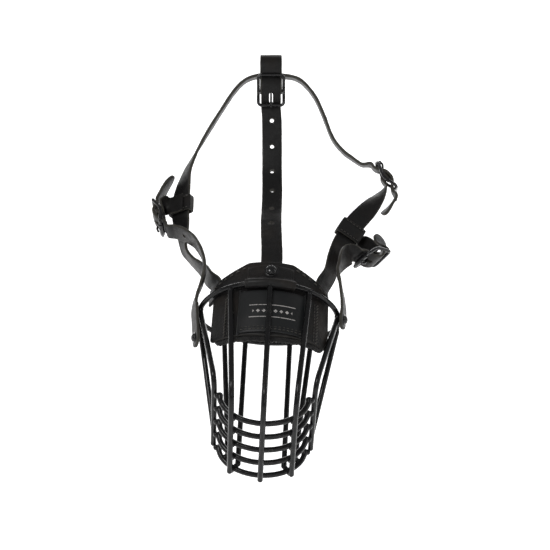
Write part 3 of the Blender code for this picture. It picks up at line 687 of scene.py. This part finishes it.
side_route = list(through(NECK_AT, WRAP)) + [(105.5, -24.5, -132.5), (98.0, -32, -142), (89.5, -41, -152)]
side_route += list(at_buckle(RIGHT_PATCH, [(0, 13, 0), (0, 0, 0), (0, -13, 0)]))
side_route += [(59.0, -74, -197), (53.5, -88, -211)]
side_route += [oval(radians(RIGHT_RIM_TURN), UNDER_PAD + THIN_T / 2, f) for f in (-22, -12, -4)]
side_ways = [NECK_AT[1][:, 0]] * len(WRAP) + [(0.25, -0.95, -0.05), (0.6, -0.7, -0.35), (0.8, -0.3, -0.5)]
side_ways += [RIGHT_PATCH[1][:, 0]] * 3 + [(0.65, 0.5, -0.55), (0.5, 0.7, -0.5)]
side_ways += [-round_way(RIGHT_RIM_TURN)] * 3
strap("right_side_strap_leather", "right_side_strap", side_route, side_ways, STRAP_W, THIN_T, strap_paint,
      [fold_slot(NECK_AT)], seed=11)


# ---- Cheek straps ----
# One each side: riveted along the basket's side outside the wires, then through a roller buckle, with the
# spare end turned back up behind it.

CHEEK_LEAN = 0.12
outer = -(WIRE_R + 1.2 + STRAP_T / 2)
left_route = [oval(radians(-CHEEK_TURN), outer + CHEEK_LEAN * max(f, 0), f) for f in (38, 30, 10, -6)]
left_route += [(-59.5, -106, -216), (-57.5, -102, -203.6), (-60.5, -91, -191.8), (-68.5, -70, -180.5),
               (-78, -58, -174), (-87, -50.5, -171)]
left_route += list(through(LEFT_AT, BILLET)) + [(-99, -18, -127), (-92, -13, -117)]
left_ways = [round_way(-CHEEK_TURN)] * 4 + [(0.05, -0.9, 0.3), (0.05, -0.95, 0.25), (0, -0.9, 0.4),
                                            (0, -0.85, 0.5), (0, -0.8, 0.6), (0, -0.8, 0.6)]
left_ways += [LEFT_AT[1][:, 0]] * len(BILLET) + [(0, -0.9, 0.45), (0.1, -0.95, 0.3)]
right_route = [oval(radians(CHEEK_TURN), outer + CHEEK_LEAN * max(f, 0), f) for f in (12, 4, -8)]
right_route += [(62.3, -107, -218), (61.0, -101, -207), (66.0, -91, -197), (72.5, -79, -192)]
right_route += list(through(RIGHT_AT, BILLET)) + [(103.6, -43.5, -183), (101.0, -38, -173)]
right_ways = [round_way(CHEEK_TURN)] * 3 + [(-0.1, -0.95, 0.3), (-0.1, -0.95, 0.2), (-0.4, -0.8, 0.4),
                                            (-0.5, -0.7, 0.5)]
right_ways += [-RIGHT_AT[1][:, 0]] * len(BILLET) + [(-0.5, -0.7, 0.3), (-0.5, -0.8, 0.1)]


def face_way(route, ways, i):
    """The way out of a strap's face at one of its points, away from the muzzle's middle."""
    out = unit(np.cross(np.asarray(route[i + 1]) - np.asarray(route[i]), np.asarray(ways[i])))
    return out if out[0] * route[i][0] > 0 else -out


def dome_rivet(name, node, at, along, head, shank, depth):
    """A profile turned about its line: a shank, a thin flange and a low dome over it."""
    a = np.linspace(0, pi / 2 - 0.03, 14)
    cap = head * 0.84
    r = np.concatenate([[0.05, shank, shank, head - 0.15, head, head, head - 0.25, cap + 0.35],
                        cap * np.cos(a)])
    z = np.concatenate([[-depth, -depth, 0, 0, 0.12, 0.45, 0.62, 0.66], 0.7 + cap * 0.62 * np.sin(a)])
    turn = np.array(Vector(along).to_track_quat("Z", "Y").to_matrix())
    b = np.linspace(0, 2 * pi, 40, endpoint=False)
    grid = np.stack([r[:, None] * np.cos(b), r[:, None] * np.sin(b), z[:, None] * np.ones_like(b)],
                    axis=-1) @ turn.T + at
    thing = skin_mesh(name, [grid])
    thing.data.set_sharp_from_angle(angle=radians(48))
    fit(thing, node, steel_paint)


steel_paint, place, shader = new_paint("black_steel_paint")
chip = place.noise(420.0, 4.0, 0.65).ramp(0.70, 0.76)
haze = place.noise(150.0, 4.0).ramp(0.4, 0.7)
set_paint(shader, place, chip.blend((0.014, 0.014, 0.015), (0.085, 0.083, 0.080)),
          0.20 + haze * 0.10 + chip * 0.2, place.noise(700.0, 3.0) + chip * -0.4, 0.00001,
          Coat_Weight=0.5, Coat_Roughness=0.08)

left_cuts = [tongue_slot(LEFT_AT), (left_route[8], face_way(left_route, left_ways, 8), 1.95, NO_PULL)]
strap("left_cheek_strap_leather", "left_cheek_strap", left_route, left_ways, STRAP_W, STRAP_T, strap_paint,
      left_cuts, tips=(8, 9), seed=13)
strap("right_cheek_strap_leather", "right_cheek_strap", right_route, right_ways, STRAP_W, STRAP_T,
      strap_paint, [tongue_slot(RIGHT_AT)], tips=(8, 9), seed=17)
for side, route, ways in (("left", left_route, left_ways), ("right", right_route, right_ways)):
    out = face_way(route, ways, 1)
    dome_rivet(f"{side}_side_rivet_head", f"{side}_side_rivet",
               np.asarray(route[1]) + out * (STRAP_T / 2 + 0.15), out, 4.6, 1.7, STRAP_T + 0.6)


# ---- Chapes and patches ----
# Thin straps folded round the cheek buckles' bars and sewn to the side patches, which are leather sleeves
# stitched round the neck and side straps.

Z_OUT = NECK_T / 2 + 1.2 + 1.8 + 0.3 + THIN_T / 2
left_tail = at_buckle(LEFT_PATCH, [(-12, -1, Z_OUT + 5.5), (-8.5, -0.4, Z_OUT + 1.6), (-2, 0, Z_OUT + 0.1),
                                   (6, 0, Z_OUT)])
left_up = LEFT_PATCH[1][:, 1]
strap("left_cheek_chape_leather", "left_cheek_chape", list(through(LEFT_AT, WRAP)) + list(left_tail),
      [LEFT_AT[1][:, 0]] * len(WRAP) + [(-0.05, -0.4, 0.85), left_up, left_up, left_up], STRAP_W, THIN_T,
      strap_paint, [fold_slot(LEFT_AT)], seed=19)
right_tail = at_buckle(RIGHT_PATCH, [(12.5, -1, -Z_OUT - 2.8), (7, 0, -Z_OUT - 0.5), (0, 0, -Z_OUT),
                                     (-6, 0, -Z_OUT)])
right_up = -RIGHT_PATCH[1][:, 1]
strap("right_cheek_chape_leather", "right_cheek_chape", list(through(RIGHT_AT, WRAP)) + [(90, -52, -185)]
      + list(right_tail),
      [RIGHT_AT[1][:, 0]] * len(WRAP) + [(-0.6, 0.4, -0.6), right_up, right_up, right_up, right_up],
      STRAP_W, THIN_T, strap_paint, [fold_slot(RIGHT_AT)], seed=23)


def sleeve_skin(at, length, inner_w, inner_t, wall):
    """A flat tube round a strap: rounded-box loops, outside then inside, softened at both rims."""
    a = np.linspace(0, 2 * pi, 64, endpoint=False)

    def loop(w, t, y):
        box = 1 / (np.abs(np.cos(a)) ** 7 + np.abs(np.sin(a)) ** 7) ** (1 / 7)
        return np.stack([w * box * np.cos(a), np.full_like(a, y), t * box * np.sin(a)], axis=1)

    y = length / 2 * np.array([-0.93, -1, -0.97, -0.7, -0.3, 0.1, 0.5, 0.85, 0.97, 1, 0.93])
    grow = wall * np.array([0.2, 0.5, 0.9, 1, 1.04, 1.05, 1.03, 1, 0.9, 0.5, 0.2])
    outside = [loop(inner_w / 2 + g, inner_t / 2 + g, k) for g, k in zip(grow, y)]
    inside = [loop(inner_w / 2, inner_t / 2, k) for k in (length * 0.45, 0.0, -length * 0.45)]
    grid = np.stack(outside + inside)
    inward = np.concatenate([np.clip(length / 2 - np.abs(y), 0, None), [3, 3, 3]])[:, None] * np.ones(len(a))
    around = (inner_w / 2 * np.cos(a))[None] * np.ones((len(grid), 1))
    along = np.concatenate([y, [0, 0, 0]])[:, None] * np.ones(len(a))
    return at_buckle(at, grid.reshape(-1, 3)).reshape(grid.shape), (around, along), inward


for side, at in (("left", LEFT_PATCH), ("right", RIGHT_PATCH)):
    grid, own_place, inward = sleeve_skin(at, 17, STRAP_W + 2.0, NECK_T + 2.4, 1.8)
    fit(skin_mesh(f"{side}_patch_leather", [grid], closed=True, place=own_place, traits={"inward": inward}),
        f"{side}_patch", strap_paint)


# ---- Nose pad ----
# A curved leather pad inside the wires, a smooth leather panel on its front, a felt lining that shows below
# it, and a tab that folds over the rim wire and is held by one dome rivet.

PAD_TURN = radians(3.0)


def collar_edge(turn):
    """The pad's back edge: level for a short way behind the rivet, then an exponential fall to the sides."""
    return -26.3 + 18.0 * (1 - np.exp(-np.maximum(np.abs(turn) - 0.35, 0.0) / 0.70))


def pad_skin(half_turn, near, far, depth, thick, corner=5.0, rows=150, cols=34, swell=0.0):
    """A sheet that follows the rim. Rows go round the rim; each row runs out along one face and back along
    the other between the near and far edges, which are round. Corners are cut by a quarter circle."""
    swing = radians(half_turn) * np.sin(np.linspace(-pi / 2, pi / 2, rows))
    gone = (radians(half_turn) - np.abs(swing)) * (RIM_HALF - depth)
    turn = PAD_TURN + swing
    cut = corner * (1 - np.sqrt(1 - (1 - np.clip(gone / corner, 0, 1)) ** 2))
    low, high = near(turn) + cut, far(turn) - cut
    half = thick / 2 * np.sqrt(np.clip(1 - (1 - np.clip(gone / (thick / 2), 0, 1)) ** 2, 0.01, 1))
    s = np.linspace(0, 1, cols)
    a = np.linspace(-pi / 2, pi / 2, 7)[1:-1]
    f_part = np.concatenate([s, np.ones(5), s[::-1], np.zeros(5)])
    bow = np.concatenate([0 * s, np.cos(a), 0 * s, -np.cos(a)])
    face = np.concatenate([0 * s - 1, np.sin(a), 0 * s + 1, -np.sin(a)])
    inner_low, inner_high = low + half, high - half
    f = inner_low[:, None] + (inner_high - inner_low)[:, None] * f_part + half[:, None] * bow
    puff = swell * np.sin(np.clip(f_part, 0, 1) * pi)[None] * np.clip(gone / 8, 0, 1)[:, None] * (face < 0)
    inset = depth + thick / 2 + half[:, None] * face - puff
    across = swing[:, None] * (RIM_HALF - depth) * np.ones_like(f)
    inward = np.minimum(np.minimum(f - low[:, None], high[:, None] - f), gone[:, None])
    inward = np.where(np.abs(bow) > 0, 0.0, inward)
    return turn, f, inset, (across, f), inward


turn, f, inset, own_place, inward = pad_skin(62, collar_edge, lambda a: 50 - 4 * np.abs(a), SKIN, 2.0)
pad_paint = leather_paint("pad_leather", bold=3.2, brown=0.9, rim=0.15, coat=0.25)
pad = skin_mesh("nose_pad_hide", [oval(turn[:, None], inset, f)], place=own_place, traits={"inward": inward})
punch(pad, [(oval(0, SKIN + 1, RIVET_F), TOP_WAY, 2.2, NO_PULL)])
fit(pad, "nose_pad_leather", pad_paint)

turn, f, inset, own_place, inward = pad_skin(29, lambda a: 5.0 + 0 * a, lambda a: 47 + 0 * a, WIRE_R + 0.3,
                                             1.4, corner=1.0, swell=0.25)
panel = skin_mesh("nose_pad_front", [oval(turn[:, None], inset, f)], place=own_place,
                  traits={"inward": inward})
panel_paint, spot, shader = new_paint("panel_leather")
own = spot.node("ShaderNodeUVMap", {"uv_map": "place"})
across, along, _ = own.parts()
rules = (1 - (along - 20.5).size().ramp(0.25, 0.5)).most(1 - (along - 32.5).size().ramp(0.25, 0.5))
rules = rules * (1 - across.size().ramp(20.0, 20.4))
beads = ((across + 100.0) / 5.0).fraction() - 0.5
lozenge = (beads.size() * 5.0 + (along - 26.5).size()).ramp(1.6, 1.9)
printed = rules.most((1 - lozenge) * (1 - across.size().ramp(17.0, 17.4)))
printed = printed * spot.noise(900.0, 3.0).ramp(0.30, 0.46)
tone = spot.noise(35.0, 3.0).ramp(0.4, 0.7).blend((0.016, 0.018, 0.019), (0.030, 0.030, 0.031))
set_paint(shader, spot, printed.blend(tone, (0.75, 0.72, 0.70)), 0.34 + spot.noise(80.0, 4.0) * 0.16,
          spot.noise(1500.0, 2.0) * 0.5 + spot.noise(60.0, 2.0) * 1.2, 0.00015, Coat_Weight=0.12,
          Coat_Roughness=0.3)
fit(panel, "nose_pad_panel", panel_paint)

rolls = []
for side in (-1, 1):
    fs = np.linspace(4.0, 48.0, 50)
    rolls.append(wire_skin(oval(np.full(50, PAD_TURN + radians(28.6) * side), WIRE_R + 0.9, fs), 1.15,
                           TOP_WAY, sides=14, seed=31 + side, lumps=0.12))
fit(skin_mesh("nose_pad_rolled_edges", rolls), None, panel_paint)

turn, f, inset, own_place, inward = pad_skin(60, lambda a: -1.0 + 0 * a, lambda a: 53.5 - 5 * np.abs(a),
                                             SKIN + 2.3, 4.0, corner=8.0, rows=260, cols=60)
wave = (np.sin(f * 1.9 + turn[:, None] * 40) + np.sin(f * 0.83 - turn[:, None] * 71 + 1.0)
        + np.sin(turn[:, None] * 133 + f * 2.7)) / 3
hairy = np.random.default_rng(4).normal(size=f.shape)
hairy = (hairy + np.roll(hairy, 1, 0) + np.roll(hairy, 1, 1) + np.roll(hairy, -1, 1)) / 4
matted = oval(turn[:, None], inset + wave * 0.22 + hairy * 0.16, f + wave * 0.35 + hairy * 0.30)
felt = skin_mesh("nose_pad_lining", [matted], place=own_place)
felt_paint, spot, shader = new_paint("dark_felt")
fluff = spot.noise(1100.0, 6.0, 0.75)
mat = spot.noise(140.0, 5.0, 0.7)
lint = spot.noise(620.0, 5.0, 0.8).ramp(0.60, 0.70)
wool = mat.ramp(0.35, 0.7).blend((0.012, 0.012, 0.013), (0.040, 0.037, 0.034))
set_paint(shader, spot, (lint * 0.7).blend(wool, (0.10, 0.095, 0.088)), 0.92 + lint * 0.05,
          fluff * 1.2 + mat * 1.5, 0.0009, Sheen_Weight=0.25, Sheen_Roughness=0.5)
fit(felt, "nose_pad_felt", felt_paint)

TAB_T = 1.4
tab_turn = radians(20) * np.sin(np.linspace(-pi / 2, pi / 2, 70))
gone = (radians(20) - np.abs(tab_turn)) * RIM_HALF
low, round_wire = SKIN - 0.3 - TAB_T / 2, WIRE_R + 0.3 + TAB_T / 2 + 0.1
angles = np.linspace(0.3, 3.55, 16)
d = np.concatenate([[low, low, low, low, 1.7], -round_wire * np.sin(angles), [low]])
fold_f = np.concatenate([[0, 0.33, 0.66, 1], [0], -round_wire * np.cos(angles), [0.8]])
f = np.where(np.arange(len(d)) < 4, (-21.5 + 6 * np.abs(tab_turn))[:, None] * (1 - fold_f) - 9.3 * fold_f,
             fold_f)
f[:, 4] = -6.0
middle_line = np.stack([oval(tab_turn[:, None], d[None], f)[k] for k in range(len(tab_turn))])
along_line = unit(np.gradient(middle_line, axis=1))
face = unit(np.cross(np.gradient(middle_line, axis=0), along_line))
half = TAB_T / 2 * np.sqrt(np.clip(1 - (1 - np.clip(gone / 0.7, 0, 1)) ** 2, 0.01, 1))[:, None, None]
sheet = np.concatenate([middle_line + face * half, (middle_line - face * half)[:, ::-1]], axis=1)
away = np.minimum(gone[:, None], lengths(middle_line[35])[None, :])
tab = skin_mesh("rim_tab_leather", [sheet], place=(np.tile((tab_turn * RIM_HALF)[:, None], (1, 2 * len(d))),
                                                   np.concatenate([f, f[:, ::-1]], axis=1)),
                traits={"inward": np.concatenate([away, away[:, ::-1]], axis=1)})
fit(tab, "rim_tab", pad_paint)
dome_rivet("pad_rivet_head", "pad_rivet", oval(0, SKIN - 0.3 - TAB_T - 0.1, RIVET_F), TOP_WAY, 6.0, 1.9, 8.4)


# ---- Stitching ----
# Waxed black thread, sewn by hand through pricked holes: along the pad's upper edge, down its side seams,
# under the panel and round the side patches.

def stitches(line, out, pitch=4.2, long=3.0, radius=0.42, slant=0.0):
    """Short round threads laid end to end along a line, each sunk at both ends into its hole."""
    run = lengths(line)
    at = np.arange(pitch / 2, run[-1], pitch)
    spots = np.stack([np.interp(at, run, line[:, k]) for k in range(3)], axis=1)
    ways = unit(np.stack([np.interp(at, run, np.gradient(line, axis=0)[:, k]) for k in range(3)], axis=1))
    outs = unit(np.stack([np.interp(at, run, out[:, k]) for k in range(3)], axis=1))
    side = np.cross(ways, outs)
    ways = unit(ways + side * slant)
    side = np.cross(ways, outs)
    t = np.linspace(-1, 1, 9)
    reach, lift = t * long / 2, 0.45 - 0.95 * t ** 4
    thick = radius * np.sqrt(np.clip(1.08 - t ** 6, 0.08, 1))
    a = np.linspace(0, 2 * pi, 8, endpoint=False)
    core = spots[:, None] + ways[:, None] * reach[None, :, None] + outs[:, None] * lift[None, :, None]
    ring = side[:, None, None] * np.cos(a)[:, None] + outs[:, None, None] * np.sin(a)[:, None]
    return list(core[:, :, None] + ring * thick[None, :, None, None])


def pad_line(turns, inset, fs):
    """A line on the pad and its outward way."""
    turns, fs = np.broadcast_arrays(np.asarray(turns, float), np.asarray(fs, float))
    line = oval(turns, inset, fs)
    return line, unit(line - oval(turns, inset + 2.0, fs))


thread_paint, place, shader = new_paint("waxed_thread")
ply = place.noise(2200.0, 2.0)
# The black thread is painted dark to mid grey. The ply noise is real; the lightness is a painted highlight
# for the light its round waxed ply catches.
set_paint(shader, place, ply.ramp(0.35, 0.65).blend((0.045, 0.043, 0.040), (0.150, 0.140, 0.125)),
          0.42 + ply * 0.2, ply, 0.00015)
threads = []
for side in (-1, 1):
    a = side * np.linspace(radians(21), radians(57), 50)
    threads += stitches(*pad_line(a, SKIN, collar_edge(a) + 4.4), pitch=6.4, long=3.6, radius=0.60)
    seam_f = np.linspace(6, 46, 40)
    threads += stitches(*pad_line(np.full(40, PAD_TURN + radians(43.0) * side), SKIN, seam_f), pitch=3.1,
                        long=3.4, radius=0.55, slant=0.75)
    threads += stitches(*pad_line(np.full(40, PAD_TURN + radians(39.5) * side), SKIN, seam_f), pitch=3.6,
                        long=2.6, radius=0.35)
below_panel = PAD_TURN + np.linspace(radians(-27), radians(27), 60)
for row, radius in ((44.6, 0.50), (42.2, 0.3)):
    threads += stitches(*pad_line(below_panel, WIRE_R + 0.3, row), pitch=3.6, long=2.6, radius=radius)
for at, sign in ((LEFT_PATCH, 1), (LEFT_PATCH, -1), (RIGHT_PATCH, 1), (RIGHT_PATCH, -1)):
    for y in (-6.2, 6.2):
        line = at_buckle(at, np.stack([np.linspace(-9.5, 9.5, 20), np.full(20, y),
                                       np.full(20, sign * (NECK_T / 2 + 3.05))], axis=1))
        threads += stitches(line, np.tile(at[1][:, 2] * sign, (20, 1)), pitch=3.4, long=2.4, radius=0.36)
fit(skin_mesh("stitching", threads), None, thread_paint)


# ---- Buckles ----
# Each is a bent and welded wire rectangle whose sides bow back to carry a middle bar, with a wire tongue
# looped round the bar and, on the three strap buckles, a rolled sleeve on the end bar. Painted black.

BUCKLE_W, BUCKLE_L, BAR_R, END_R, ROLLER_R, TONGUE_R = 24.4, 29.0, 1.2, 1.5, 2.4, 1.0


def frame_line():
    """One side of the rectangle with its bow, mirrored to the other: a closed line of the wire's middle."""
    half_w, half_l = BUCKLE_W / 2, BUCKLE_L / 2
    y = np.linspace(-10.5, 10.5, 22)
    side = np.stack([np.full_like(y, half_w), y, -BOW * np.cos(pi * y / BUCKLE_L) ** 2], axis=1)
    a = np.linspace(0.15, pi / 2, 8)
    corner = np.stack([half_w - 3.4 + 3.4 * np.cos(a), half_l - 3.4 + 3.4 * np.sin(a), 0 * a], axis=1)
    half = np.concatenate([corner[::-1] * [1, -1, 1], side, corner])
    return np.concatenate([half, half[::-1] * [-1, 1, 1]])


def roller_skin():
    """A short sleeve: its outline, a flat ring with soft corners, turned about the end bar."""
    long = BUCKLE_W / 2 - 4.6
    x = np.array([-1, -1, -0.985, -0.95, -0.3, 0.3, 0.95, 0.985, 1, 1]) * long
    r = np.array([END_R + 0.3, ROLLER_R - 0.3, ROLLER_R - 0.08, ROLLER_R, ROLLER_R, ROLLER_R, ROLLER_R,
                  ROLLER_R - 0.08, ROLLER_R - 0.3, END_R + 0.3])
    a = np.linspace(0, 2 * pi, 36, endpoint=False)
    dent = 1 - 0.05 * np.exp(-((a - 2.4) / 0.08) ** 2)
    return np.stack([x[:, None] * np.ones_like(a), r[:, None] * np.cos(a) * dent - BUCKLE_L / 2,
                     r[:, None] * np.sin(a) * dent], axis=-1)


for name, at, has_roller in (("crown", CROWN_AT, False), ("neck", NECK_AT, True),
                             ("left_cheek", LEFT_AT, True), ("right_cheek", RIGHT_AT, True)):
    outline = frame_line()
    out_way = at[1][:, 2]
    loop_line = at_buckle(at, outline)
    hoop = wire_skin(loop_line, END_R, out_way + 0.02 * at[1][:, 0], sides=16, closed=True, seed=41,
                     lumps=0.05)
    fit(skin_mesh(f"{name}_buckle_hoop", [hoop], closed=True), f"{name}_buckle_frame",
        steel_paint, f"{name}_buckle")
    reach = BUCKLE_W / 2 - END_R - 0.1
    pin = at_buckle(at, np.stack([np.linspace(-reach, reach, 20), np.zeros(20), np.full(20, -BOW)], axis=1))
    fit(skin_mesh(f"{name}_buckle_pin", [wire_skin(pin, BAR_R, out_way, sides=14, seed=43, lumps=0.03,
                                                   ends=0.25)]),
        f"{name}_buckle_bar", steel_paint, f"{name}_buckle")
    rest = (ROLLER_R if has_roller else END_R) + 0.3 + 1.1
    prong = smooth([(0, -BAR_R - 1.4, -BOW), (0, -4.0, -BOW + 1.2), (0, -8.0, 0.9), (0, -12.0, rest),
                    (0, -BUCKLE_L / 2 - 1.5, rest - 0.1)], 10)
    a = np.linspace(0.5, 2 * pi - 0.5, 30)
    eye = np.stack([0 * a, -(BAR_R + TONGUE_R + 0.1) * np.cos(a), (BAR_R + TONGUE_R + 0.1) * np.sin(a)
                    - BOW], axis=1)
    prong_skin = wire_skin(at_buckle(at, prong), TONGUE_R, at[1][:, 0], sides=14, seed=47, lumps=0.03,
                           ends=0.0)
    eye_skin = wire_skin(at_buckle(at, eye), TONGUE_R * 0.9, at[1][:, 0], sides=12, seed=48, lumps=0.0,
                         ends=0.0)
    fit(skin_mesh(f"{name}_buckle_prong", [prong_skin, eye_skin]), f"{name}_buckle_tongue",
        steel_paint, f"{name}_tongue")
    if has_roller:
        grid = roller_skin()
        sleeve = skin_mesh(f"{name}_buckle_sleeve",
                           [at_buckle(at, grid.reshape(-1, 3)).reshape(grid.shape)], closed=True)
        sleeve.data.set_sharp_from_angle(angle=radians(50))
        fit(sleeve, f"{name}_buckle_roller", steel_paint, f"{name}_roller")
